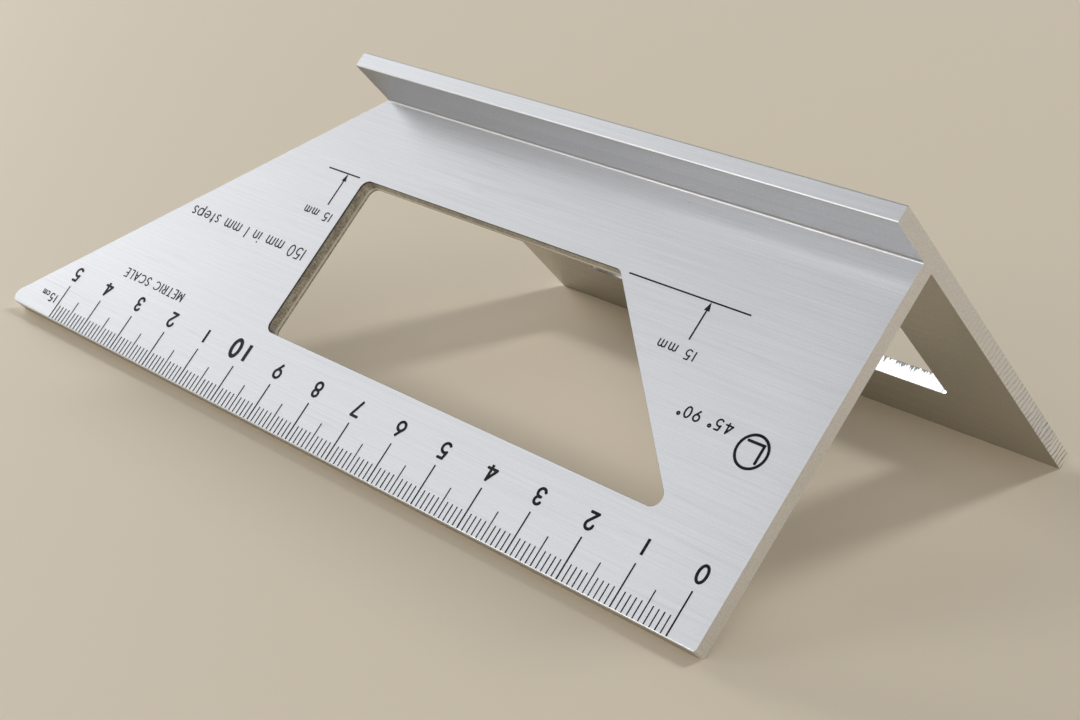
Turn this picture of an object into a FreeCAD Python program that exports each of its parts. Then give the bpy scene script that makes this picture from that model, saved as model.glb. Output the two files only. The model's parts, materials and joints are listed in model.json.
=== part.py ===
import FreeCAD, Part
import math
import os

# Three-way mitre square for carpentry, cut from one aluminium extrusion.
#
# The tool is drawn in a flat frame, and then turned as it stands:
#   X  along the tool, from its square end towards its 45 degree end
#   Y  across the front plate, from the fence down to the scale edge
#   Z  out of the marked face of the front plate, which is the plane Z = 0;
#      the fence stands up from that face and the back plate hangs below it
# Text on the marked face reads along +X with its tops towards the scale edge.
# The tool stands on the inner corners of both plates, each plate leaning at 45 degrees.
# Millimetres throughout.

# extruded section
plate_thickness = 2.8
front_plate_depth = 60.0
back_plate_depth = 60.0
fence_height = 10.0
edge_radius = 0.25
groove_radius = 0.3

# lengths and end cuts
top_length = 109.8
mitre_angle = 45.0
tip_radius = 1.5
heel_radius = 0.7
zero_margin = 5.0

# windows
window_top = 15.0
window_bottom = 45.3
window_end = 103.4
window_slant_sum = 59.8
back_window_start = 14.7
back_window_end = 92.0
back_window_top = 17.8
back_window_bottom = 47.5
window_radius = 1.6
window_break = 0.05

# scale
scale_cm = 15
mark_width = 0.17
cm_mark_width = 0.23
mark_length_mm = 3.0
mark_length_5mm = 5.0
mark_length_cm = 7.0
ink_thickness = 0.04

# lettering
digit_height = 2.95
digit_stroke = 0.46
digit_base = 49.0
ten_height = 3.8
ten_stroke = 0.72
ten_base = 48.2
ten_start = 98.55
ten_gap = 1.35
unit_height = 1.8
unit_stroke = 0.23
unit_start = 151.4
unit_base = 55.4
unit_gap = 0.62
unit_letters_start = 153.9
unit_letters_height = 1.3
unit_letters_stroke = 0.19
unit_letters_gap = 0.22

# 15 mm offset marks
offset_line_width = 0.24
offset_stem_end = 21.4
arrow_length = 1.4
arrow_half_width = 0.5
arrow_overlap = 0.2
offset_label_height = 1.75
offset_label_stroke = 0.2
offset_label_base = 22.6
offset_label_gap = 0.52
high_mark_line = (99.8, 107.9)
high_mark_arrow = 102.8
high_label_start = 100.3
low_mark_line = (14.9, 37.9)
low_mark_arrow = 22.0
low_label_start = 19.5

# captions
caption_height = 2.3
caption_stroke = 0.21
caption_gap = 0.5
caption_start = 100.8
caption_base = 30.0
note_height = 1.85
note_stroke = 0.2
note_gap = 0.46
note_start = 121.0
note_base = 45.3
badge_radius = 2.7
badge_stroke = 0.42
badge_arm = 1.35
badge_centre = (3.2, 32.9)
badge_text_height = 1.9
badge_text_stroke = 0.26
badge_text_gap = 0.42
badge_text_start = 7.6
badge_text_base = 30.2

# worked out
back_plate_bottom = -(plate_thickness + back_plate_depth)
scale_edge = front_plate_depth
scale_length = top_length + scale_edge / math.tan(math.radians(mitre_angle))
tip_reach = tip_radius * (1.0 / math.tan(math.radians(mitre_angle / 2.0)) - 1.0)
overall_length = scale_length - tip_reach
corner_loss = edge_radius * (math.sqrt(2.0) - 1.0)


def vec(x, y, z=0.0):
    return FreeCAD.Vector(x, y, z)


# ---------- outlines ----------

def rounded_outline(points, radii):
    """Closed wire through points in the XY plane, each corner rounded by its own radius."""
    corners = [vec(*point) for point in points]
    count = len(corners)
    starts = []
    middles = []
    ends = []
    for index, corner in enumerate(corners):
        to_last = (corners[index - 1] - corner).normalize()
        to_next = (corners[(index + 1) % count] - corner).normalize()
        half = to_last.getAngle(to_next) / 2.0
        radius = radii[index]
        setback = radius / math.tan(half)
        bisector = (to_last + to_next).normalize()
        starts.append(corner + to_last * setback)
        middles.append(corner + bisector * (radius / math.sin(half) - radius))
        ends.append(corner + to_next * setback)
    edges = []
    for index in range(count):
        following = (index + 1) % count
        if radii[index] > 0:
            edges.append(Part.Arc(starts[index], middles[index], ends[index]).toShape())
        edges.append(Part.LineSegment(ends[index], starts[following]).toShape())
    return Part.Wire(edges)


def prism(wire, low, high):
    """Solid between two heights over a closed wire in the XY plane."""
    face = Part.Face(wire)
    face.translate(vec(0, 0, low))
    return face.extrude(vec(0, 0, high - low))


def stand_up(shape):
    """Turn a solid drawn in the XY plane so that its X, Y, Z become Y, Z, X."""
    shape.rotate(vec(0, 0, 0), vec(1, 1, 1), 120)
    return shape


# ---------- body ----------

def extrusion():
    """Front plate, back plate and fence as one bar, as long as the scale edge."""
    t = plate_thickness
    section = [
        (0.0, fence_height),
        (-t, fence_height),
        (-t, back_plate_bottom),
        (0.0, back_plate_bottom),
        (0.0, -t),
        (scale_edge, -t),
        (scale_edge, 0.0),
        (0.0, 0.0),
    ]
    outer = edge_radius
    inner = groove_radius
    radii = [outer, outer, outer, outer, inner, outer, outer, inner]
    return stand_up(prism(rounded_outline(section, radii), 0.0, scale_length))


def front_blank():
    """What the end cuts leave of the front plate."""
    outline = [
        (0.0, -plate_thickness * 2),
        (top_length, -plate_thickness * 2),
        (top_length, 0.0),
        (scale_length, scale_edge),
        (0.0, scale_edge),
    ]
    radii = [0.0, 0.0, 0.0, tip_radius, heel_radius]
    return prism(rounded_outline(outline, radii), back_plate_bottom - 1.0, fence_height + 1.0)


def front_window():
    outline = [
        (window_slant_sum - window_top, window_top),
        (window_end, window_top),
        (window_end, window_bottom),
        (window_slant_sum - window_bottom, window_bottom),
    ]
    radii = [window_radius] * len(outline)
    return prism(rounded_outline(outline, radii), -plate_thickness - 1.0, 1.0)


def back_window():
    """Cutter through the back plate, drawn in X and depth below the marked face."""
    outline = [
        (back_window_start, back_window_top),
        (back_window_end, back_window_top),
        (back_window_end, back_window_bottom),
        (back_window_start, back_window_bottom),
    ]
    radii = [window_radius] * len(outline)
    cutter = prism(rounded_outline(outline, radii), -1.0, plate_thickness + 1.0)
    cutter.rotate(vec(0, 0, 0), vec(1, 0, 0), -90)
    cutter.translate(vec(0, -plate_thickness, 0))
    return cutter


def window_rim(body):
    """Edges of both windows that lie in the faces of their plates."""
    rim = []
    for edge in body.Edges:
        box = edge.BoundBox
        on_front = box.YMin > window_top - 0.1 and box.YMax < window_bottom + 0.1
        flat = box.ZLength < 0.001 and box.XMax < window_end + 0.1
        if on_front and flat:
            rim.append(edge)
        behind = box.ZMax < -back_window_top + 0.1 and box.ZMin > -back_window_bottom - 0.1
        inside = box.XMin > back_window_start - 0.1 and box.XMax < back_window_end + 0.1
        if behind and inside and box.YLength < 0.001:
            rim.append(edge)
    return rim


def square_body():
    body = extrusion().common(front_blank())
    body = body.cut(front_window()).cut(back_window())
    body = body.makeChamfer(window_break, window_rim(body))
    return body


# ---------- lettering ----------
# A glyph is its width and its strokes, on a cap height of one, centre line to centre line.
# A stroke is a chain of points; ("arc", via, end) is a circular arc from the last point,
# and ("ring", centre, rx, ry) is a closed loop.

def ring(x, y, rx, ry):
    return [("ring", (x, y), rx, ry)]


glyphs = {
    " ": (0.3, []),
    "0": (0.60, [ring(0.30, 0.50, 0.30, 0.50)]),
    "1": (0.0, [[(0.0, 0.0), (0.0, 1.0)]]),
    "2": (0.54, [[(0.0, 0.73), ("arc", (0.27, 1.0), (0.49, 0.575)), (0.0, 0.0), (0.54, 0.0)]]),
    "3": (0.50, [
        [(0.03, 0.84), ("arc", (0.44, 0.91), (0.218, 0.524))],
        [(0.17, 0.528), ("arc", (0.513, 0.22), (0.0, 0.175))],
    ]),
    "4": (0.72, [[(0.46, 0.0), (0.46, 1.0)], [(0.46, 1.0), (0.0, 0.26), (0.72, 0.26)]]),
    "5": (0.54, [[(0.50, 1.0), (0.13, 1.0), (0.03, 0.556), ("arc", (0.545, 0.315), (0.0, 0.11))]]),
    "6": (0.60, [ring(0.30, 0.30, 0.30, 0.30), [(0.46, 1.0), (0.073, 0.464)]]),
    "7": (0.56, [[(0.0, 1.0), (0.56, 1.0), (0.14, 0.0)]]),
    "8": (0.55, [ring(0.275, 0.76, 0.235, 0.24), ring(0.275, 0.275, 0.275, 0.275)]),
    "9": (0.60, [ring(0.30, 0.70, 0.30, 0.30), [(0.14, 0.0), (0.527, 0.536)]]),
    "°": (0.24, [ring(0.12, 0.88, 0.12, 0.12)]),
    "m": (0.84, [
        [(0.0, 0.0), (0.0, 0.68)],
        [(0.0, 0.42), ("arc", (0.22, 0.68), (0.42, 0.46)), (0.42, 0.0)],
        [(0.42, 0.42), ("arc", (0.64, 0.68), (0.84, 0.46)), (0.84, 0.0)],
    ]),
    "n": (0.44, [
        [(0.0, 0.0), (0.0, 0.68)],
        [(0.0, 0.42), ("arc", (0.23, 0.68), (0.44, 0.46)), (0.44, 0.0)],
    ]),
    "c": (0.52, [[(0.52, 0.60), ("arc", (0.0, 0.34), (0.52, 0.08))]]),
    "i": (0.0, [[(0.0, 0.0), (0.0, 0.68)], [(0.0, 0.88), (0.0, 1.0)]]),
    "s": (0.36, [[
        (0.32, 0.62), ("arc", (0.03, 0.50), (0.18, 0.35)), ("arc", (0.35, 0.17), (0.0, 0.06)),
    ]]),
    "t": (0.30, [[(0.13, 0.92), (0.13, 0.0)], [(0.0, 0.68), (0.30, 0.68)]]),
    "e": (0.62, [
        [(0.0, 0.34), (0.62, 0.34)],
        [(0.62, 0.34), ("arc", (0.0, 0.36), (0.54, 0.12))],
    ]),
    "p": (0.62, [[(0.0, 0.68), (0.0, -0.30)], ring(0.34, 0.34, 0.31, 0.34)]),
    "A": (0.70, [[(0.0, 0.0), (0.35, 1.0), (0.70, 0.0)], [(0.126, 0.36), (0.574, 0.36)]]),
    "C": (0.76, [[(0.76, 0.85), ("arc", (0.0, 0.50), (0.76, 0.15))]]),
    "E": (0.46, [[(0.46, 1.0), (0.0, 1.0), (0.0, 0.0), (0.46, 0.0)], [(0.0, 0.52), (0.40, 0.52)]]),
    "I": (0.0, [[(0.0, 0.0), (0.0, 1.0)]]),
    "L": (0.42, [[(0.0, 1.0), (0.0, 0.0), (0.42, 0.0)]]),
    "M": (0.74, [
        [(0.0, 0.0), (0.0, 1.04)],
        [(0.0, 1.0), (0.37, 0.20), (0.74, 1.0)],
        [(0.74, 1.04), (0.74, 0.0)],
    ]),
    "R": (0.50, [
        [(0.0, 0.0), (0.0, 1.0)],
        [(0.0, 1.0), (0.25, 1.0), ("arc", (0.49, 0.76), (0.25, 0.52)), (0.0, 0.52)],
        [(0.24, 0.52), (0.50, 0.0)],
    ]),
    "S": (0.50, [[
        (0.46, 0.86), ("arc", (0.04, 0.755), (0.25, 0.53)), ("arc", (0.50, 0.265), (0.0, 0.13)),
    ]]),
    "T": (0.56, [[(0.0, 1.0), (0.56, 1.0)], [(0.28, 1.0), (0.28, 0.0)]]),
}


def stroke_face(stroke, place, scale, width):
    """Flat face of one pen stroke of the given width; place maps glyph units to the marked face."""
    if stroke[0][0] == "ring":
        _, centre, rx, ry = stroke[0]
        loops = []
        for side in (0.5, -0.5):
            across = rx * scale + side * width
            upright = ry * scale + side * width
            loops.append(oval(place(centre), across, upright))
        return Part.Face(loops[0]).cut(Part.Face(loops[1])).Faces[0]
    edges = []
    last = place(stroke[0])
    for step in stroke[1:]:
        if step[0] == "arc":
            end = place(step[2])
            edges.append(Part.Arc(last, place(step[1]), end).toShape())
        else:
            end = place(step)
            edges.append(Part.LineSegment(last, end).toShape())
        last = end
    if len(edges) == 1 and len(stroke) == 2 and stroke[1][0] != "arc":
        return bar_face(place(stroke[0]), last, width)
    return Part.Face(Part.Wire(edges).makeOffset2D(width / 2.0, 0, False, False))


def bar_face(start, end, width):
    """Straight stroke with square ends."""
    side = (end - start).normalize().cross(vec(0, 0, 1)) * (width / 2.0)
    points = [start + side, end + side, end - side, start - side, start + side]
    return Part.Face(Part.makePolygon(points))


def oval(centre, across, upright):
    """Closed loop as wide and as tall as given: a circle, or an ellipse."""
    if abs(across - upright) < 0.001:
        return Part.Wire(Part.Circle(centre, vec(0, 0, 1), across).toShape())
    if across > upright:
        return Part.Wire(Part.Ellipse(centre + vec(across, 0), centre + vec(0, upright), centre).toShape())
    return Part.Wire(Part.Ellipse(centre + vec(0, upright), centre + vec(-across, 0), centre).toShape())


def ink(face):
    """Printed film of a flat face, on the marked face of the front plate."""
    return face.extrude(vec(0, 0, ink_thickness))


def glyph_solids(name, left, base, height, width):
    """Film of one character with its left side at X = left and its foot at Y = base."""
    scale = height - width

    def place(point):
        return vec(left + width / 2.0 + point[0] * scale, base + width / 2.0 + point[1] * scale)

    faces = [stroke_face(stroke, place, scale, width) for stroke in glyphs[name][1]]
    if name == "i":
        return [ink(face) for face in faces]
    joined = faces[0]
    if len(faces) > 1:
        joined = joined.multiFuse(faces[1:]).removeSplitter()
    return [ink(face) for face in joined.Faces]


def glyph_width(name, height, width):
    return glyphs[name][0] * (height - width) + width


def text_solids(text, start, base, height, width, gap):
    """Film of a line of text that starts at X = start, with gap between characters."""
    solids = []
    left = start
    for name in text:
        if name != " ":
            solids += glyph_solids(name, left, base, height, width)
        left += glyph_width(name, height, width) + gap
    return solids


def from_zero(x):
    """X of a place given by its reading on the scale."""
    return x + zero_margin


# ---------- printed scale ----------

def bar(x, low, high, width):
    return ink(bar_face(vec(x, low), vec(x, high), width))


def marks(readings, length, width):
    top = scale_edge - length
    bottom = scale_edge - edge_radius
    return [bar(from_zero(reading), top, bottom, width) for reading in readings]


def centimetre_marks():
    return marks([10 * n for n in range(scale_cm + 1)], mark_length_cm, cm_mark_width)


def half_marks():
    return marks([10 * n + 5 for n in range(scale_cm)], mark_length_5mm, mark_width)


def millimetre_marks():
    readings = [n for n in range(10 * scale_cm) if n % 5]
    return marks(readings, mark_length_mm, mark_width)


def numeral(reading):
    """Last digit of a centimetre reading, centred over its mark."""
    name = str(reading % 10)
    left = from_zero(10 * reading) - glyph_width(name, digit_height, digit_stroke) / 2.0
    return glyph_solids(name, left, digit_base, digit_height, digit_stroke)


def ten_numeral():
    return text_solids("10", from_zero(ten_start), ten_base, ten_height, ten_stroke, ten_gap)


def unit_label():
    digits = text_solids("15", from_zero(unit_start), unit_base, unit_height, unit_stroke, unit_gap)
    start = from_zero(unit_letters_start)
    height = unit_letters_height
    letters = text_solids("cm", start, unit_base, height, unit_letters_stroke, unit_letters_gap)
    return digits + letters


# ---------- 15 mm offset marks ----------

def offset_line(ends):
    start = vec(from_zero(ends[0]), window_top)
    end = vec(from_zero(ends[1]), window_top)
    return [ink(bar_face(start, end, offset_line_width))]


def offset_arrow(reading):
    """Arrow whose point touches the offset line from the scale side."""
    x = from_zero(reading)
    tip = window_top + offset_line_width / 2.0
    foot = tip + arrow_length
    head = Part.Face(Part.makePolygon([
        vec(x, tip),
        vec(x + arrow_half_width, foot),
        vec(x - arrow_half_width, foot),
        vec(x, tip),
    ]))
    stem = bar_face(vec(x, foot - arrow_overlap), vec(x, offset_stem_end), offset_line_width)
    return [ink(face) for face in head.fuse(stem).removeSplitter().Faces]


def offset_label(start):
    left = from_zero(start)
    height = offset_label_height
    return text_solids("15 mm", left, offset_label_base, height, offset_label_stroke, offset_label_gap)


# ---------- generic captions ----------

def caption():
    start = from_zero(caption_start)
    words = "150 mm in 1 mm steps"
    return text_solids(words, start, caption_base, caption_height, caption_stroke, caption_gap)


def note():
    start = from_zero(note_start)
    return text_solids("METRIC SCALE", start, note_base, note_height, note_stroke, note_gap)


def badge():
    """A right angle inside a ring."""
    centre = vec(from_zero(badge_centre[0]), badge_centre[1])
    outer = oval(centre, badge_radius, badge_radius)
    inner = oval(centre, badge_radius - badge_stroke, badge_radius - badge_stroke)
    loop = Part.Face(outer).cut(Part.Face(inner)).Faces[0]
    arm = badge_arm
    corner = [vec(-arm, arm), vec(-arm, -arm), vec(arm, -arm)]
    angle = Part.makePolygon([centre + point for point in corner])
    return [ink(loop), ink(Part.Face(angle.makeOffset2D(badge_stroke / 2.0, 2, False, False)))]


def badge_text():
    start = from_zero(badge_text_start)
    height = badge_text_height
    return text_solids("45° 90°", start, badge_text_base, height, badge_text_stroke, badge_text_gap)


# ---------- standing pose and files ----------

def standing_pose():
    """From the flat frame to the standing one, with the origin under the middle of the tool."""
    turn = FreeCAD.Rotation(vec(1, 0, 0), 45) * FreeCAD.Rotation(vec(0, 0, 1), 180)
    root_two = math.sqrt(2.0)
    foot = (scale_edge + plate_thickness) / root_two - corner_loss
    front = scale_edge / root_two - corner_loss
    back = (back_plate_depth + 2.0 * plate_thickness) / root_two - corner_loss
    shift = vec(overall_length / 2.0, (front - back) / 2.0, foot)
    return FreeCAD.Placement(shift, turn)


def save(name, solids):
    shape = solids[0] if len(solids) == 1 else Part.Compound(solids)
    shape.Placement = standing_pose().multiply(shape.Placement)
    shape.exportStep("parts/" + name + ".step")
    box = shape.BoundBox
    print(name, len(shape.Solids), shape.isValid(), round(shape.Volume, 4), box)


os.makedirs("parts", exist_ok=True)
save("mitre_square_body", [square_body()])
save("scale_marks_cm", centimetre_marks())
save("scale_marks_5mm", half_marks())
save("scale_marks_1mm", millimetre_marks())
for reading in range(scale_cm + 1):
    if reading != 10:
        save("numeral_%02d_cm" % reading, numeral(reading))
save("numeral_10_cm", ten_numeral())
save("unit_label_15_cm", unit_label())
save("offset_line_high", offset_line(high_mark_line))
save("offset_arrow_high", offset_arrow(high_mark_arrow))
save("offset_label_high", offset_label(high_label_start))
save("offset_line_low", offset_line(low_mark_line))
save("offset_arrow_low", offset_arrow(low_mark_arrow))
save("offset_label_low", offset_label(low_label_start))
save("caption_scale_range", caption())
save("caption_metric", note())
save("badge_angle_icon", badge())
save("badge_angle_text", badge_text())
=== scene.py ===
import json
import math
import random

import bmesh
import bpy
from mathutils import Matrix, Vector


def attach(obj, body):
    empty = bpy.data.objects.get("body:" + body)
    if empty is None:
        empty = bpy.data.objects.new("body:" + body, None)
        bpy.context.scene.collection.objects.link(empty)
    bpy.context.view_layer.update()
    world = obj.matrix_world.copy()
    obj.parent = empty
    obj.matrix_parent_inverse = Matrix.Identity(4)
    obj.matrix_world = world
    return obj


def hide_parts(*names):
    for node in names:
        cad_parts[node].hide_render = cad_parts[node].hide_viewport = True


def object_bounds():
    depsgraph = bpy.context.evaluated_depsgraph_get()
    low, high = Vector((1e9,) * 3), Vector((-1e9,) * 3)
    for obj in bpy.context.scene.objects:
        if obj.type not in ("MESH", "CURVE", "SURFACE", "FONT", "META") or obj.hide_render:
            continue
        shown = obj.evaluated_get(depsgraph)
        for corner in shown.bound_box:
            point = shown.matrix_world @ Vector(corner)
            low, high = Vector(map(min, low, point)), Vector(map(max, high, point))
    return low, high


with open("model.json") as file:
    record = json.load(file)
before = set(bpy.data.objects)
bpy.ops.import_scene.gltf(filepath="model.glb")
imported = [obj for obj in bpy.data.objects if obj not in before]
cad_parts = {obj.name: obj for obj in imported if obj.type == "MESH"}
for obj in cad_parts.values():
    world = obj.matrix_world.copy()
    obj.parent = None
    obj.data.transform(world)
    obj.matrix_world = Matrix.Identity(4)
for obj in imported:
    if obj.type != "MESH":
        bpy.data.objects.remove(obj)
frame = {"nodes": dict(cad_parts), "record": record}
cadLow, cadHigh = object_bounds()
print("frame loaded:", len(frame["nodes"]), "nodes")

# The square is described in its own flat frame, in metres: along runs from the square end to the
# mitre end, across runs down the marked face from the fence, and out leaves the marked face.
plate = {
    "thickness": 0.0028,
    "depth": 0.060,
    "turn": 135.0,  # degrees about the length, from the square as it stands to its flat frame
}
mounts = {mount["name"]: mount for mount in frame["record"]["mounts"]}
alongDir = Vector((-1, 0, 0))
acrossDir = Vector(mounts["fence_inner_face"]["axis"]).normalized()
outDir = -Vector(mounts["front_plate_inner_face"]["axis"]).normalized()
fencePoint = Vector(mounts["fence_inner_face"]["pos_m"])
plateBack = Vector(mounts["front_plate_inner_face"]["pos_m"])
corner = (
    Vector((cadHigh.x, 0, 0))
    + acrossDir * fencePoint.dot(acrossDir)
    + outDir * (plateBack.dot(outDir) + plate["thickness"])
)
flatToRow = Matrix((alongDir, acrossDir, outDir)).transposed().to_4x4()
flatToRow.translation = corner


# small helpers for node trees

def newMaterial(name):
    material = bpy.data.materials.new(name)
    material.use_nodes = True
    material.node_tree.nodes.clear()
    return material


class Tree:
    def __init__(self, tree):
        self.tree = tree

    def add(self, kind, settings=None, **inputs):
        # inputs go in by number: in0 is a node's first socket
        node = self.tree.nodes.new(kind)
        for key, value in (settings or {}).items():
            setattr(node, key, value)
        for key, value in inputs.items():
            self.feed(node.inputs[int(key[2:])], value)
        return node

    def feed(self, socket, value):
        if isinstance(value, bpy.types.NodeSocket):
            self.tree.links.new(value, socket)
        else:
            socket.default_value = value

    def math(self, operation, a, b=0.0, c=0.0):
        settings = {"operation": operation}
        return self.add("ShaderNodeMath", settings, in0=a, in1=b, in2=c).outputs[0]

    def mapRange(self, value, low, high, toLow=0.0, toHigh=1.0):
        node = self.add("ShaderNodeMapRange", in0=value, in1=low, in2=high, in3=toLow, in4=toHigh)
        return node.outputs[0]

    def noise(self, vector, scale=1.0, detail=2.0, roughness=0.5):
        node = self.add("ShaderNodeTexNoise")
        self.feed(node.inputs["Vector"], vector)
        self.feed(node.inputs["Scale"], scale)
        self.feed(node.inputs["Detail"], detail)
        self.feed(node.inputs["Roughness"], roughness)
        return node.outputs["Fac"]

    def stretched(self, vector, along, across, behind):
        settings = {"operation": "MULTIPLY"}
        factors = (along, across, behind)
        return self.add("ShaderNodeVectorMath", settings, in0=vector, in1=factors).outputs[0]

    def parts(self, vector):
        return self.add("ShaderNodeSeparateXYZ", in0=vector).outputs

    def mixColour(self, factor, a, b):
        settings = {"data_type": "RGBA"}
        return self.add("ShaderNodeMix", settings, in0=factor, in6=a, in7=b).outputs[2]

    def acrossGrain(self):
        # in the face and square to the extrusion's length
        normal = self.add("ShaderNodeNewGeometry").outputs["Normal"]
        settings = {"operation": "CROSS_PRODUCT"}
        return self.add("ShaderNodeVectorMath", settings, in0=normal, in1=(1.0, 0.0, 0.0)).outputs[0]

    def flatCoordinates(self):
        # turned about the length, so that x, y, z run along, across and behind the marked face
        turn = math.radians(plate["turn"])
        mapping = self.add("ShaderNodeMapping")
        self.feed(mapping.inputs["Vector"], self.add("ShaderNodeTexCoord").outputs["Object"])
        mapping.inputs["Rotation"].default_value = (turn, 0, 0)
        origin = Matrix.Rotation(turn, 3, "X") @ corner
        settings = {"operation": "SUBTRACT"}
        node = self.add("ShaderNodeVectorMath", settings, in0=mapping.outputs[0], in1=origin)
        return node.outputs[0]


def colour(r, g, b):
    return (r, g, b, 1.0)


# brushed aluminium, on the marked face and the fence's top
hairline = {
    "streakTone": (0.865, 1.15),  # a streak's brightness, dull to clean
    "streakSpan": (0.34, 0.66),
    "squareEndShow": 0.34,  # how much of the streaks shows at the square end
    "mitreEndShow": 1.0,  # and at the mitre end; the stronger streaks there are painted light
    "showChange": (0.05, 0.13),  # where along the square the one turns into the other
    "length": 42.0,  # streaks per metre along the extrusion
    "fine": 7500.0,  # and across it, fine ones
    "coarse": 3100.0,  # and wider ones
    "fineShare": 0.45,
    "fineShorter": 1.6,
    "scratches": 650.0,
    "scratchLonger": 0.3,
    "scratchWidth": 0.014,
    "scratchDepth": 0.06,
    "smooth": 0.31,
    "rough": 0.355,
    "clouds": 38.0,
    "cloudPlay": 0.015,
    "bump": 0.05,
    "grain": 4200.0,
    "grainDepth": 0.40,
    "stretch": 0.45,
    "pits": 150.0,
    "pitSize": 0.006,
    "pitEdge": 2.5,
    "pitColour": colour(0.20, 0.20, 0.21),
}
middle = (0.3, 0.7)  # most of a noise's values lie between these
bumpDepth = {"brushed": 0.00004, "cut": 0.00006, "printed": 0.00003}


def finish(tree, shader):
    output = tree.add("ShaderNodeOutputMaterial")
    tree.feed(output.inputs["Surface"], shader.outputs[0])


def bumped(tree, height, strength, depth):
    node = tree.add("ShaderNodeBump")
    tree.feed(node.inputs["Strength"], strength)
    tree.feed(node.inputs["Distance"], depth)
    tree.feed(node.inputs["Height"], height)
    return node.outputs[0]


def pitMask(tree, flat, given):
    # 0 in a pit, 1 outside, with a soft edge
    node = tree.add("ShaderNodeTexVoronoi", {"feature": "F1"})
    tree.feed(node.inputs["Vector"], flat)
    tree.feed(node.inputs["Scale"], given["pits"])
    size = given["pitSize"]
    return tree.mapRange(node.outputs["Distance"], size, size * given["pitEdge"])


def metalShader(tree, base, rough, normal):
    shader = tree.add("ShaderNodeBsdfPrincipled")
    shader.inputs["Metallic"].default_value = 1.0
    tree.feed(shader.inputs["Base Color"], base)
    tree.feed(shader.inputs["Roughness"], rough)
    tree.feed(shader.inputs["Normal"], normal)
    return shader


def hairlineMetal(name, tint):
    # long fine streaks, a few single scratches, and rare pin-pricks
    material = newMaterial(name)
    tree = Tree(material.node_tree)
    flat = tree.flatCoordinates()
    length, fine, coarse = hairline["length"], hairline["fine"], hairline["coarse"]
    share = hairline["fineShare"]
    fineFlat = tree.stretched(flat, length * hairline["fineShorter"], fine, fine)
    fineLines = tree.noise(fineFlat, detail=1.0)
    coarseLines = tree.noise(tree.stretched(flat, length, coarse, coarse), detail=1.0)
    wider = tree.math("MULTIPLY", coarseLines, 1 - share)
    streak = tree.math("MULTIPLY_ADD", fineLines, share, wider)
    dull, pale = (colour(*(tone * part for part in tint)) for tone in hairline["streakTone"])
    place = tree.parts(flat)[0]
    # the streaks are real brushing; their growing show towards the mitre end is painted light
    streakShow = tree.mapRange(place, *hairline["showChange"], hairline["squareEndShow"], hairline["mitreEndShow"])
    level = tree.mapRange(streak, *hairline["streakSpan"], -0.5, 0.5)
    base = tree.mixColour(tree.math("MULTIPLY_ADD", level, streakShow, 0.5), dull, pale)
    grain = tree.noise(flat, hairline["grain"], detail=1.0)
    base = tree.mixColour(tree.mapRange(grain, *middle, 0.0, hairline["grainDepth"]), base, dull)
    sparse = hairline["scratches"]
    sparseFlat = tree.stretched(flat, length * hairline["scratchLonger"], sparse, sparse)
    offLine = tree.math("SUBTRACT", tree.noise(sparseFlat, detail=1.0), 0.5)
    scratch = tree.mapRange(
        tree.math("ABSOLUTE", offLine), 0.0, hairline["scratchWidth"], hairline["scratchDepth"], 0.0
    )
    base = tree.mixColour(scratch, base, hairline["pitColour"])
    pit = pitMask(tree, flat, hairline)
    base = tree.mixColour(pit, hairline["pitColour"], base)
    clouds = tree.noise(flat, hairline["clouds"])
    play = hairline["cloudPlay"]
    rough = tree.math(
        "ADD",
        tree.mapRange(streak, *middle, hairline["rough"], hairline["smooth"]),
        tree.mapRange(clouds, *middle, -play, play),
    )
    height = tree.math("MULTIPLY", streak, pit)
    normal = bumped(tree, height, hairline["bump"], bumpDepth["brushed"])
    shader = metalShader(tree, base, rough, normal)
    shader.inputs["Anisotropic"].default_value = hairline["stretch"]
    tree.feed(shader.inputs["Tangent"], tree.acrossGrain())
    finish(tree, shader)
    return material


# bare extruded aluminium
satin = {
    "dieLength": 9.0,  # die lines per metre along the extrusion
    "lines": 1500.0,  # and across it
    "speckle": 2600.0,
    "speckleShare": 0.65,
    "toneSpan": (0.35, 0.65),
    "smooth": 0.34,
    "rough": 0.44,
    "bump": 0.25,
    "pits": 260.0,
    "pitSize": 0.012,
    "pitEdge": 2.5,
    "pitColour": colour(0.20, 0.20, 0.20),
}


def satinMetal(name, low, high, edgeTint):
    # as-extruded faces: fine die lines under a satin speckle
    material = newMaterial(name)
    tree = Tree(material.node_tree)
    flat = tree.flatCoordinates()
    share = satin["speckleShare"]
    dieFlat = tree.stretched(flat, satin["dieLength"], satin["lines"], satin["lines"])
    dieLines = tree.noise(dieFlat)
    speckle = tree.noise(flat, satin["speckle"], roughness=0.6)
    mixed = tree.math("MULTIPLY_ADD", speckle, share, tree.math("MULTIPLY", dieLines, 1 - share))
    base = tree.mixColour(tree.mapRange(mixed, *satin["toneSpan"]), low, high)
    pit = pitMask(tree, flat, satin)
    base = tree.mixColour(pit, satin["pitColour"], base)
    rough = tree.mapRange(mixed, *middle, satin["rough"], satin["smooth"])
    height = tree.math("MULTIPLY", mixed, pit)
    normal = bumped(tree, height, satin["bump"], bumpDepth["brushed"])
    shader = metalShader(tree, base, rough, normal)
    shader.inputs["Specular Tint"].default_value = edgeTint
    finish(tree, shader)
    return material


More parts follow.
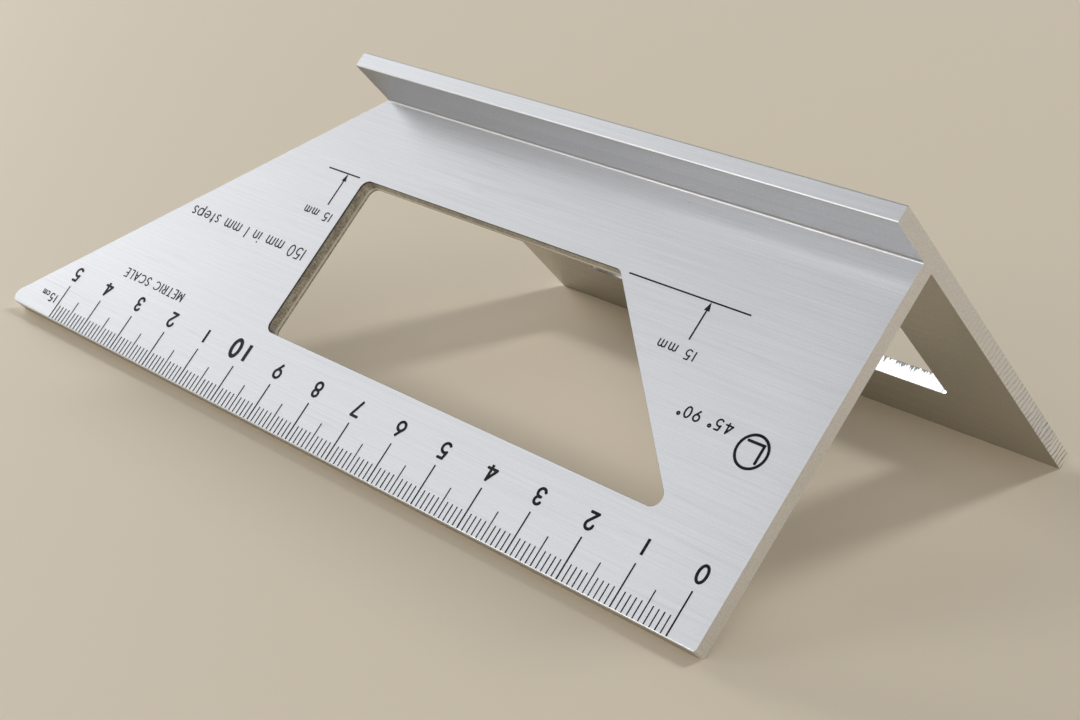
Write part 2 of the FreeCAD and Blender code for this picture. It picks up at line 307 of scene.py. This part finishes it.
# the two cut ends
sawn = {
    "low": colour(0.75, 0.745, 0.745),
    "high": colour(0.90, 0.90, 0.905),
    # the grooves' dark colour is painted shade in them
    "groove": colour(0.30, 0.29, 0.28),
    "lowerPale": colour(0.98, 0.98, 0.975),
    "lowerPaleSpan": (0.020, 0.058),  # the back plate's end gets brighter between these depths
    "lowerPaleShare": 0.6,
    "pitch": 0.00115,
    "lean": 0.22,
    "wander": 240.0,
    "wanderTurn": 9.0,  # how far a groove strays, in radians of its pitch
    "sharpness": 3.0,
    "coarseSpan": (0.010, 0.060),  # and its grooves get deeper between these
    "coarseDepth": (0.10, 0.95),
    "ragged": (900.0, 2600.0),
    "grain": 3400.0,
    "grainShare": 0.7,
    "grainHeight": 0.4,
    "grooveShadeSpan": (0.06, 0.60),
    "toneSpan": (0.34, 0.66),
    "smooth": 0.38,
    "rough": 0.50,
    "bump": 0.4,
}


def sawnMetal(name):
    # saw cuts run across the plates, and grow coarser towards the back plate's lower corner
    material = newMaterial(name)
    tree = Tree(material.node_tree)
    flat = tree.flatCoordinates()
    across, behind = tree.parts(flat)[1:3]
    travel = tree.math("MAXIMUM", across, tree.math("ABSOLUTE", behind))
    leaning = tree.math("MULTIPLY_ADD", across, sawn["lean"], travel)
    wander = tree.math("MULTIPLY", tree.noise(flat, sawn["wander"]), sawn["wanderTurn"])
    phase = tree.math("MULTIPLY_ADD", leaning, 2 * math.pi / sawn["pitch"], wander)
    wave = tree.math("MULTIPLY_ADD", tree.math("SINE", phase), 0.5, 0.5)
    raggedFlat = tree.stretched(flat, 1.0, *sawn["ragged"])
    ragged = tree.noise(raggedFlat, detail=3.0, roughness=0.6)
    grain = tree.noise(flat, sawn["grain"], roughness=0.6)
    coarse = tree.mapRange(behind, *sawn["coarseSpan"], *sawn["coarseDepth"])
    groove = tree.math("MULTIPLY", tree.math("POWER", wave, sawn["sharpness"]), coarse)
    height = tree.math("ADD", groove, tree.math("MULTIPLY", grain, sawn["grainHeight"]))
    grooveShade = tree.mapRange(tree.math("MULTIPLY", groove, ragged), *sawn["grooveShadeSpan"])
    share = sawn["grainShare"]
    torn = tree.math("MULTIPLY_ADD", grain, share, tree.math("MULTIPLY", ragged, 1 - share))
    base = tree.mixColour(tree.mapRange(torn, *sawn["toneSpan"]), sawn["low"], sawn["high"])
    # the back plate's end is made paler towards its lower edge
    lowerPale = tree.mapRange(behind, *sawn["lowerPaleSpan"], 0.0, sawn["lowerPaleShare"])
    base = tree.mixColour(lowerPale, base, sawn["lowerPale"])
    # darkens the saw grooves: painted shade over their real bumped relief
    base = tree.mixColour(grooveShade, base, sawn["groove"])
    rough = tree.mapRange(torn, *middle, sawn["rough"], sawn["smooth"])
    normal = bumped(tree, height, sawn["bump"], bumpDepth["cut"])
    finish(tree, metalShader(tree, base, rough, normal))
    return material


# the walls of both windows
milled = {
    "speckle": 3600.0,
    "speckleLonger": 0.55,  # the speckle's stretch through the plate
    "speckleShare": 0.7,
    "patches": 700.0,
    "toneSpan": (0.38, 0.62),
    "biteReach": 0.0012,  # how far the cutter's bites run in from the outer face
    "bitePitch": 2600.0,
    "biteLength": 160.0,
    "biteShare": 0.34,
    "biteSpan": (0.70, 0.78),
    "bite": colour(0.22, 0.22, 0.22),
    "shadeLineDepth": 0.00036,  # a dark line under the marked face: painted shade
    "shadeLineSolid": 0.7,  # this part of it is full strength
    "shadeLineShare": 0.95,
    "shadeLine": colour(0.07, 0.07, 0.07),
    "paleBand": 0.0010,  # a paler band near the inner face
    "paleFade": 0.0003,
    "paleEnd": (0.0004, 0.0003),  # it stops this far short of the inner face
    "paleShare": 0.8,
    "pale": colour(0.97, 0.95, 0.92),
}


def bittenEdge(tree, flat, base):
    # bites along the back plate's outer face: real nicks, greyed as painted shade
    across, outer = tree.parts(flat)[1], -plate["thickness"]
    nearOuter = tree.mapRange(across, outer, outer + milled["biteReach"], milled["biteShare"], 0.0)
    length = milled["biteLength"]
    teeth = tree.noise(tree.stretched(flat, milled["bitePitch"], length, length), detail=1.0)
    bites = tree.mapRange(tree.math("ADD", teeth, nearOuter), *milled["biteSpan"])
    return tree.mixColour(bites, base, milled["bite"])


def bandedEdge(tree, flat, base):
    # on the front window's walls only: a dark line of painted shade at the marked face, a pale band at
    # the inner face
    behind, thickness = tree.parts(flat)[2], plate["thickness"]
    shadeLineDepth, fade = milled["shadeLineDepth"], milled["paleFade"]
    solid = shadeLineDepth * milled["shadeLineSolid"]
    shadeLine = tree.mapRange(behind, solid, shadeLineDepth, milled["shadeLineShare"], 0.0)
    start = thickness - milled["paleBand"]
    band = tree.mapRange(behind, start, start + fade, 0.0, milled["paleShare"])
    endFrom, endTo = (thickness - short for short in milled["paleEnd"])
    above = tree.mapRange(behind, endFrom, endTo, 1.0, 0.0)
    base = tree.mixColour(tree.math("MULTIPLY", band, above), base, milled["pale"])
    return tree.mixColour(shadeLine, base, milled["shadeLine"])


def milledMetal(name, low, high, smooth, rough, bump, edge=None):
    # the mottled grey a milling cutter leaves on a window's walls, between the colours given, which
    # carry painted light and shade
    material = newMaterial(name)
    tree = Tree(material.node_tree)
    flat = tree.flatCoordinates()
    share = milled["speckleShare"]
    speckleFlat = tree.stretched(flat, 1.0, 1.0, milled["speckleLonger"])
    speckle = tree.noise(speckleFlat, milled["speckle"], detail=3.0, roughness=0.65)
    patches = tree.noise(flat, milled["patches"])
    mixed = tree.math("MULTIPLY_ADD", speckle, share, tree.math("MULTIPLY", patches, 1 - share))
    base = tree.mixColour(tree.mapRange(mixed, *milled["toneSpan"]), low, high)
    if edge:
        base = edge(tree, flat, base)
    roughness = tree.mapRange(speckle, *middle, rough, smooth)
    normal = bumped(tree, speckle, bump, bumpDepth["cut"])
    finish(tree, metalShader(tree, base, roughness, normal))
    return material


# the print
ink = {
    "dark": colour(0.006, 0.006, 0.007),
    "worn": colour(0.022, 0.021, 0.022),
    "wear": (0.35, 0.7),
    "length": 300.0,
    "grain": 3200.0,
    "smooth": 0.45,
    "rough": 0.62,
    "bump": 0.2,
    "gloss": 0.12,
}


def printedInk(name):
    material = newMaterial(name)
    tree = Tree(material.node_tree)
    flat = tree.flatCoordinates()
    grainFlat = tree.stretched(flat, ink["length"], ink["grain"], ink["grain"])
    grain = tree.noise(grainFlat, roughness=0.6)
    base = tree.mixColour(tree.mapRange(grain, *ink["wear"]), ink["dark"], ink["worn"])
    shader = tree.add("ShaderNodeBsdfPrincipled")
    tree.feed(shader.inputs["Base Color"], base)
    tree.feed(shader.inputs["Roughness"], tree.mapRange(grain, *middle, ink["rough"], ink["smooth"]))
    tree.feed(shader.inputs["Normal"], bumped(tree, grain, ink["bump"], bumpDepth["printed"]))
    shader.inputs["Specular IOR Level"].default_value = ink["gloss"]
    finish(tree, shader)
    return material


finishes = {
    "markedFace": hairlineMetal("markedFaceAluminium", (0.755, 0.765, 0.785)),
    # the fence top's brighter tint than the marked face is painted light on the same brushed finish
    "fenceTop": hairlineMetal("fenceTopAluminium", (0.85, 0.865, 0.89)),
    # darker and warmer than the outer aluminium, with a warm edge tint: painted shade and painted
    # reflection of the shaded floor beneath
    "insideFace": satinMetal(
        "insideFaceAluminium",
        low=colour(0.58, 0.568, 0.525),
        high=colour(0.70, 0.683, 0.64),
        edgeTint=colour(0.74, 0.72, 0.66),
    ),
    # darker than the other faces' aluminium: painted shade
    "fenceInside": satinMetal(
        "fenceInsideAluminium",
        low=colour(0.45, 0.45, 0.455),
        high=colour(0.52, 0.52, 0.525),
        edgeTint=colour(0.58, 0.58, 0.585),
    ),
    "sawnEnd": sawnMetal("sawnEndAluminium"),
    # the dark olive low colour is painted shade and painted reflection of the shaded floor, over the
    # cutter's real mottle
    "windowWall": milledMetal(
        "windowWallAluminium",
        low=colour(0.30, 0.275, 0.225),
        high=colour(0.70, 0.68, 0.63),
        smooth=0.38,
        rough=0.52,
        bump=0.5,
        edge=bandedEdge,
    ),
    # near white, far paler than the other walls: a lit copy of the same milled finish, painted
    # highlight
    "brightWall": milledMetal(
        "brightWallAluminium",
        low=colour(0.93, 0.94, 0.95),
        high=colour(0.97, 0.97, 0.97),
        smooth=0.12,
        rough=0.22,
        bump=0.15,
        edge=bittenEdge,
    ),
    # dark rims on the windows' edge breaks: painted shade
    "windowRim": milledMetal(
        "windowRimAluminium",
        low=colour(0.16, 0.15, 0.13),
        high=colour(0.34, 0.33, 0.31),
        smooth=0.34,
        rough=0.46,
        bump=0.3,
    ),
}
inkFinish = printedInk("scaleInk")
print("materials made:", len(finishes) + 1)


# the square itself: the extrusion with its two plates and its fence
body = {
    "cadNode": "mitre_square_body",
    "mergeWithin": 0.000002,
    "flatWithin": 1.0,  # degrees between triangles that become one face
    "sharp": 40.0,  # degrees between the faces of an edge that is broken
    "edgeBreak": 0.00009,  # the sawn ends' edges, after one pass with a file
    "edgeSegments": 2,
    "endBand": 0.001,
    "skin": 0.0002,  # a face nearer than this to a plate's surface is part of its rim
    "fenceFoot": 0.004,  # a face further out than this is on the fence
}
facing = {"slight": 0.1, "end": 0.2, "half": 0.5, "square": 0.9}  # how far a face turns to a direction


def planeDistance(point, mount):
    return (point - Vector(mount["pos_m"])).dot(Vector(mount["axis"]).normalized())


mitreAxis = Vector(mounts["mitre_end"]["axis"]).normalized()
plate["topLength"] = -planeDistance(corner, mounts["mitre_end"]) / alongDir.dot(mitreAxis)


def cleanCopy(node):
    mesh = frame["nodes"][node].data.copy()
    work = bmesh.new()
    work.from_mesh(mesh)
    bmesh.ops.remove_doubles(work, verts=work.verts, dist=body["mergeWithin"])
    flatWithin = math.radians(body["flatWithin"])
    bmesh.ops.dissolve_limit(work, angle_limit=flatWithin, verts=work.verts, edges=work.edges)
    return mesh, work


def breakEdges(work):
    sharp = []
    for edge in work.edges:
        if len(edge.link_faces) == 2 and edge.calc_face_angle() > math.radians(body["sharp"]):
            sharp.append(edge)
    bmesh.ops.bevel(
        work,
        geom=sharp,
        offset=body["edgeBreak"],
        segments=body["edgeSegments"],
        affect="EDGES",
        profile=0.5,
        clamp_overlap=True,
    )


# saw notches across the back plate's square end, deeper towards its lower edge
notches = {
    "first": 0.022,  # below the marked face, down the back plate
    "last": 0.0592,
    "pitch": 0.00098,
    "pitchPlay": 0.25,
    "width": 0.00036,
    "widthPlay": (0.7, 1.2),
    "shallow": 0.00001,
    "deep": 0.00017,
    "deepPlay": (0.3, 1.0),
    "growth": 1.5,
    "lean": 0.14,
    "fade": (-0.2, 0.9),  # how much deeper a notch is at one side of the plate
    "onPlane": 0.0000001,
    "seed": 11,
}


def cutEnd(work, depth):
    # one line across the end face; the points it makes come back
    faces = []
    for face in work.faces:
        if min(vert.co.x for vert in face.verts) > cadHigh.x - body["skin"]:
            faces.append(face)
    geometry = list(faces)
    geometry += {edge for face in faces for edge in face.edges}
    geometry += {vert for face in faces for vert in face.verts}
    cut = bmesh.ops.bisect_plane(
        work,
        geom=geometry,
        dist=notches["onPlane"],
        plane_co=corner - outDir * depth,
        plane_no=outDir - acrossDir * notches["lean"],
    )
    return [item for item in cut["geom_cut"] if isinstance(item, bmesh.types.BMVert)]


def cutNotches(work):
    chance = random.Random(notches["seed"])
    count = int((notches["last"] - notches["first"]) / notches["pitch"])
    for index in range(count):
        reach = (index + 1) / count
        shift = chance.uniform(-notches["pitchPlay"], notches["pitchPlay"])
        depth = notches["first"] + (index + shift) * notches["pitch"]
        grown = notches["deep"] * reach ** notches["growth"]
        sink = notches["shallow"] + grown * chance.uniform(*notches["deepPlay"])
        fade = chance.uniform(*notches["fade"])
        half = notches["width"] / 2 * chance.uniform(*notches["widthPlay"])
        for side in (-half, half):
            cutEnd(work, depth + side)
        for vert in cutEnd(work, depth):
            place = (vert.co - corner).dot(acrossDir) / plate["thickness"] + 0.5
            vert.co.x -= sink * (1 + fade * place * 2)


def zoneOf(face):
    # which finish a face of the body gets
    local = flatToRow.inverted() @ face.calc_center_median()
    along, across, out = (face.normal.dot(way) for way in (alongDir, acrossDir, outDir))
    band, skin, thickness = body["endBand"], body["skin"], plate["thickness"]
    atSquareEnd = local.x < band
    atMitreEnd = local.x > plate["topLength"] + max(local.y, 0) - 2 * band
    if (atSquareEnd or atMitreEnd) and abs(along) > facing["end"]:
        return "sawnEnd"
    inFront = -thickness <= local.z <= 0 and skin < local.y < plate["depth"] - band
    inBack = -thickness <= local.y <= 0 and -plate["depth"] < local.z < -thickness - skin
    if inFront and abs(out) < facing["square"]:
        return "windowWall" if -thickness + skin < local.z < -skin else "windowRim"
    if inBack and abs(across) < facing["square"]:
        if not -thickness + skin < local.y < -skin:
            return "windowRim"
        return "brightWall" if out > facing["half"] else "windowWall"
    if across > facing["square"] and local.z > 0:
        return "fenceInside"
    if out > facing["slight"] and local.z > body["fenceFoot"]:
        return "fenceTop"
    outside = out > facing["slight"] or across < -facing["half"]
    return "markedFace" if outside else "insideFace"


def makeBody():
    mesh, work = cleanCopy(body["cadNode"])
    breakEdges(work)
    cutNotches(work)
    work.normal_update()
    order = list(finishes)
    for face in work.faces:
        face.material_index = order.index(zoneOf(face))
        face.smooth = False
    mesh.name = "squareBody"
    mesh.materials.clear()
    for name in order:
        mesh.materials.append(finishes[name])
    work.to_mesh(mesh)
    work.free()
    piece = bpy.data.objects.new("squareBody", mesh)
    bpy.context.scene.collection.objects.link(piece)
    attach(piece, "root")
    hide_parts(body["cadNode"])
    return piece


squareBody = makeBody()
print("body made:", len(squareBody.data.polygons), "faces")


# the graduations, in three rows of different lengths
scale = {
    "zero": 0.005,  # first mark, from the square end
    "pitch": 0.001,
    "edge": 0.060,  # scale edge, from the fence
    "edgeRound": 0.00025,
    "film": 0.00004,
    "widthPlay": 0.06,
    "seed": 4,
}
rows = [
    {
        "name": "centimetreMarks",
        "node": "scale_marks_cm",
        "count": 16,
        "every": 10,
        "start": 0,
        "skip": 0,
        "length": 0.007,
        "width": 0.00023,
    },
    {
        "name": "halfMarks",
        "node": "scale_marks_5mm",
        "count": 15,
        "every": 10,
        "start": 5,
        "skip": 0,
        "length": 0.005,
        "width": 0.00017,
    },
    {
        "name": "millimetreMarks",
        "node": "scale_marks_1mm",
        "count": 150,
        "every": 1,
        "start": 0,
        "skip": 5,  # every fifth one is in the rows above
        "length": 0.003,
        "width": 0.00017,
    },
]
markInputs = {
    "Count": "NodeSocketInt",
    "First Mark": "NodeSocketFloat",
    "Spacing": "NodeSocketFloat",
    "Skip Every": "NodeSocketInt",
    "Length": "NodeSocketFloat",
    "Width": "NodeSocketFloat",
    "Film": "NodeSocketFloat",
    "Foot": "NodeSocketFloat",
    "Width Play": "NodeSocketFloat",
    "Ink": "NodeSocketMaterial",
}


def markTree():
    tree = bpy.data.node_groups.new("graduations", "GeometryNodeTree")
    tree.interface.new_socket("Geometry", in_out="INPUT", socket_type="NodeSocketGeometry")
    for name, kind in markInputs.items():
        tree.interface.new_socket(name, in_out="INPUT", socket_type=kind)
    tree.interface.new_socket("Geometry", in_out="OUTPUT", socket_type="NodeSocketGeometry")
    make = Tree(tree)
    given = make.add("NodeGroupInput").outputs
    # a point for each mark, along the scale edge
    start = make.add("ShaderNodeCombineXYZ", in0=given["First Mark"], in1=given["Foot"])
    step = make.add("ShaderNodeCombineXYZ", in0=given["Spacing"])
    line = make.add("GeometryNodeMeshLine", {"mode": "OFFSET"})
    make.feed(line.inputs["Count"], given["Count"])
    make.feed(line.inputs["Start Location"], start.outputs[0])
    make.feed(line.inputs["Offset"], step.outputs[0])
    # all but the ones that a longer row already has
    index = make.add("GeometryNodeInputIndex").outputs[0]
    rest = make.math("MODULO", index, make.math("MAXIMUM", given["Skip Every"], 1.0))
    skipped = make.math("COMPARE", rest, 0.0, 0.1)
    skipping = make.math("GREATER_THAN", given["Skip Every"], 0.5)
    keep = make.math("SUBTRACT", 1.0, make.math("MULTIPLY", skipped, skipping))
    # a block that runs up from the scale edge and stands on the face
    block = make.add("GeometryNodeMeshCube")
    standing = make.add("GeometryNodeTransform")
    make.feed(standing.inputs["Geometry"], block.outputs["Mesh"])
    make.feed(standing.inputs["Translation"], (0.0, -0.5, 0.5))
    play = make.add("FunctionNodeRandomValue", {"data_type": "FLOAT"})
    make.feed(play.inputs[2], make.math("SUBTRACT", 1.0, given["Width Play"]))
    make.feed(play.inputs[3], make.math("ADD", 1.0, given["Width Play"]))
    play.inputs["Seed"].default_value = scale["seed"]
    width = make.math("MULTIPLY", given["Width"], play.outputs[1])
    size = make.add("ShaderNodeCombineXYZ", in0=width, in1=given["Length"], in2=given["Film"])
    marks = make.add("GeometryNodeInstanceOnPoints")
    make.feed(marks.inputs["Points"], line.outputs["Mesh"])
    make.feed(marks.inputs["Selection"], keep)
    make.feed(marks.inputs["Instance"], standing.outputs["Geometry"])
    make.feed(marks.inputs["Scale"], size.outputs[0])
    real = make.add("GeometryNodeRealizeInstances")
    make.feed(real.inputs["Geometry"], marks.outputs["Instances"])
    inked = make.add("GeometryNodeSetMaterial")
    make.feed(inked.inputs["Geometry"], real.outputs["Geometry"])
    make.feed(inked.inputs["Material"], given["Ink"])
    done = make.add("NodeGroupOutput")
    make.feed(done.inputs["Geometry"], inked.outputs["Geometry"])
    return tree


def makeMarks(row, tree):
    makerName = row["name"] + "Maker"
    maker = bpy.data.objects.new(makerName, bpy.data.meshes.new(makerName))
    bpy.context.scene.collection.objects.link(maker)
    modifier = maker.modifiers.new("graduations", "NODES")
    modifier.node_group = tree
    values = {
        "Count": row["count"],
        "First Mark": scale["zero"] + row["start"] * scale["pitch"],
        "Spacing": row["every"] * scale["pitch"],
        "Skip Every": row["skip"],
        "Length": row["length"] - scale["edgeRound"],
        "Width": row["width"],
        "Film": scale["film"],
        "Foot": scale["edge"] - scale["edgeRound"],
        "Width Play": scale["widthPlay"],
        "Ink": inkFinish,
    }
    for item in tree.interface.items_tree:
        if item.in_out == "INPUT" and item.name in values:
            modifier[item.identifier] = values[item.name]
    graph = bpy.context.evaluated_depsgraph_get()
    mesh = bpy.data.meshes.new_from_object(maker.evaluated_get(graph))
    bpy.data.objects.remove(maker)
    mesh.transform(flatToRow)
    piece = bpy.data.objects.new(row["name"], mesh)
    bpy.context.scene.collection.objects.link(piece)
    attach(piece, "root")
    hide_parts(row["node"])
    return piece


graduations = markTree()
for row in rows:
    made = makeMarks(row, graduations)
    print("graduations:", row["name"], len(made.data.polygons), "faces")

printed = 0
for name, node in frame["nodes"].items():
    if name == body["cadNode"] or node.hide_render:
        continue
    node.data.materials.clear()
    node.data.materials.append(inkFinish)
    printed += 1
print("printed marks inked:", printed)


stage = {
    "size": 3.0,
    "floor": colour(0.80, 0.695, 0.54),
    "floorRough": 0.65,
    "floorGloss": 0.25,
}
lights = {
    # azimuth runs clockwise from +Y, seen from above; sizes and distances are in metres
    "softboxes": [
        {
            "name": "frontWindow",
            "azimuth": -120,
            "elevation": 37,
            "distance": 2.6,
            "size": (2.1, 1.24),
            "brightness": 0.64,
            "tint": (0.965, 0.975, 1.0),
        },
        {
            "name": "lowWindow",
            "azimuth": -150,
            "elevation": 17,
            "distance": 2.8,
            "size": (1.4, 0.52),
            "brightness": 4.2,
            "tint": (0.95, 0.965, 1.0),
        },
        {
            "name": "topLamp",
            "azimuth": -127,
            "elevation": 52,
            "distance": 2.4,
            "size": (0.28, 0.28),
            "brightness": 2.0,
            "tint": (0.95, 0.97, 1.0),
        },
        {
            "name": "leftWindow",
            "azimuth": -84,
            "elevation": 14,
            "distance": 3.0,
            "size": (1.8, 0.92),
            "brightness": 10.6,
            "tint": (0.95, 0.972, 1.0),
        },
        {
            "name": "backWindow",
            "azimuth": 17,
            "elevation": 50,
            "distance": 2.8,
            "size": (0.5, 0.9),
            "brightness": 13.0,
            "tint": (0.95, 0.972, 1.0),
        },
        {
            "name": "rightWindow",
            "azimuth": 154,
            "elevation": 32,
            "distance": 2.8,
            "size": (2.2, 1.2),
            "brightness": 1.7,
            "tint": (0.96, 0.975, 1.0),
        },
    ],
    "horizon": 0.55,  # the room's walls
    "zenith": 0.08,  # and its ceiling
    "roomColour": colour(1.0, 0.99, 0.97),
}


def makeFloor():
    mesh = bpy.data.meshes.new("floor")
    work = bmesh.new()
    bmesh.ops.create_grid(work, x_segments=1, y_segments=1, size=stage["size"] / 2)
    work.to_mesh(mesh)
    work.free()
    material = newMaterial("paleFloor")
    tree = Tree(material.node_tree)
    shader = tree.add("ShaderNodeBsdfPrincipled")
    shader.inputs["Base Color"].default_value = stage["floor"]
    shader.inputs["Roughness"].default_value = stage["floorRough"]
    shader.inputs["Specular IOR Level"].default_value = stage["floorGloss"]
    finish(tree, shader)
    mesh.materials.append(material)
    floor = bpy.data.objects.new("floor", mesh)
    bpy.context.scene.collection.objects.link(floor)


def makeSoftbox(given):
    lamp = bpy.data.lights.new(given["name"], "AREA")
    lamp.shape = "RECTANGLE"
    lamp.size, lamp.size_y = given["size"]
    lamp.color = given["tint"]
    lamp.energy = given["brightness"] * math.pi * lamp.size * lamp.size_y
    azimuth, elevation = math.radians(given["azimuth"]), math.radians(given["elevation"])
    level = math.cos(elevation)
    towards = Vector((math.sin(azimuth) * level, math.cos(azimuth) * level, math.sin(elevation)))
    piece = bpy.data.objects.new(given["name"], lamp)
    piece.location = towards * given["distance"]
    piece.rotation_euler = towards.to_track_quat("Z", "Y").to_euler()
    bpy.context.scene.collection.objects.link(piece)


def makeLights():
    for given in lights["softboxes"]:
        makeSoftbox(given)
    # the room around is brighter at the horizon than overhead
    world = bpy.data.worlds.new("room")
    world.use_nodes = True
    tree = Tree(world.node_tree)
    height = tree.parts(tree.add("ShaderNodeTexCoord").outputs["Generated"])[2]
    level = tree.mapRange(height, 0.0, 1.0, lights["horizon"], lights["zenith"])
    background = world.node_tree.nodes["Background"]
    tree.feed(background.inputs[0], lights["roomColour"])
    tree.feed(background.inputs[1], level)
    bpy.context.scene.world = world


camera = {
    "place": Vector((0.21426, -0.20299, 0.12510)),
    "forward": Vector((-0.65575, 0.65260, -0.37960)),
    "roll": 1.492,
    "lens": 62.33,
    "sensor": 36.0,
    "nearest": 0.01,
    "furthest": 20.0,
}


def makeCamera():
    view = bpy.data.cameras.new("camera")
    view.lens = camera["lens"]
    view.sensor_width = camera["sensor"]
    view.clip_start = camera["nearest"]
    view.clip_end = camera["furthest"]
    piece = bpy.data.objects.new("camera", view)
    aim = camera["forward"].to_track_quat("-Z", "Y").to_matrix()
    turn = Matrix.Rotation(math.radians(camera["roll"]), 3, "Z")
    piece.matrix_world = Matrix.Translation(camera["place"]) @ (aim @ turn).to_4x4()
    bpy.context.scene.collection.objects.link(piece)
    bpy.context.scene.camera = piece


makeFloor()
makeLights()
makeCamera()
bpy.context.scene.view_settings.view_transform = "Standard"
print("stage made")
